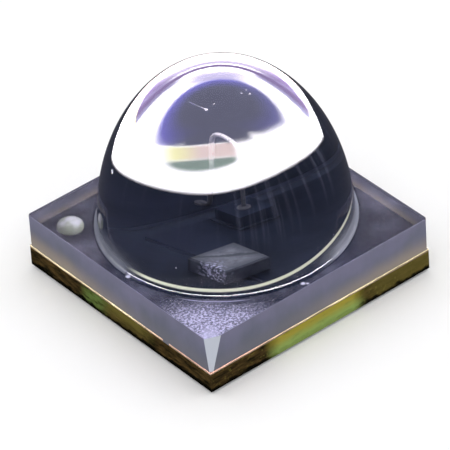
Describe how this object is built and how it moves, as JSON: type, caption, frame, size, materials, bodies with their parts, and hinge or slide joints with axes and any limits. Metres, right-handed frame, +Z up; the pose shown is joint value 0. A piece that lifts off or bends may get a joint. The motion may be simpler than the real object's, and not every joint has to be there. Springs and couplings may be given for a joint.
{
  "type": "uvc led",
  "caption": "Surface-mount ultraviolet diode: a tall clear dome lens on a square flange, moulded onto a thin board with solder pads underneath.",
  "frame": {"origin": "centre of the package's underside, on the plane of the solder pads", "axes": "+Z up through the dome; the sides run along X and Y; the marker bead is at the corner (-X, +Y)"},
  "size_m": [0.0036, 0.0036, 0.003],
  "materials": {
    "clear_lens": "clear and polished, cast in one piece",
    "laminate": "glass-epoxy laminate, sawn edge",
    "land_metal": "copper with a dark plating, cut edge bare",
    "pad_metal": "gold-plated copper",
    "via_metal": "solid copper fill",
    "die": "polished crystal with scribed edges",
    "solder": "dull reflowed solder",
    "die_silicon": "polished silicon",
    "attach_film": "silver-filled epoxy",
    "wire_gold": "bright drawn gold",
    "marker_white": "smooth pale bead"
  },
  "bodies": {
    "root": {"lens": "clear_lens", "board_core": "laminate", "cathode_land": "land_metal", "anode_land": "land_metal", "cathode_pad": "pad_metal", "anode_pad": "pad_metal", "thermal_pad": "pad_metal", "cathode_via_1": "via_metal", "cathode_via_2": "via_metal", "cathode_via_3": "via_metal", "anode_via_1": "via_metal", "anode_via_2": "via_metal", "anode_via_3": "via_metal", "thermal_via_1": "via_metal", "thermal_via_2": "via_metal", "thermal_via_3": "via_metal", "thermal_via_4": "via_metal", "led_chip": "die", "cathode_joint": "solder", "anode_joint": "solder", "zener_chip": "die_silicon", "zener_attach": "attach_film", "bond_wire": "wire_gold", "marker_dot": "marker_white"}
  },
  "joints": []
}
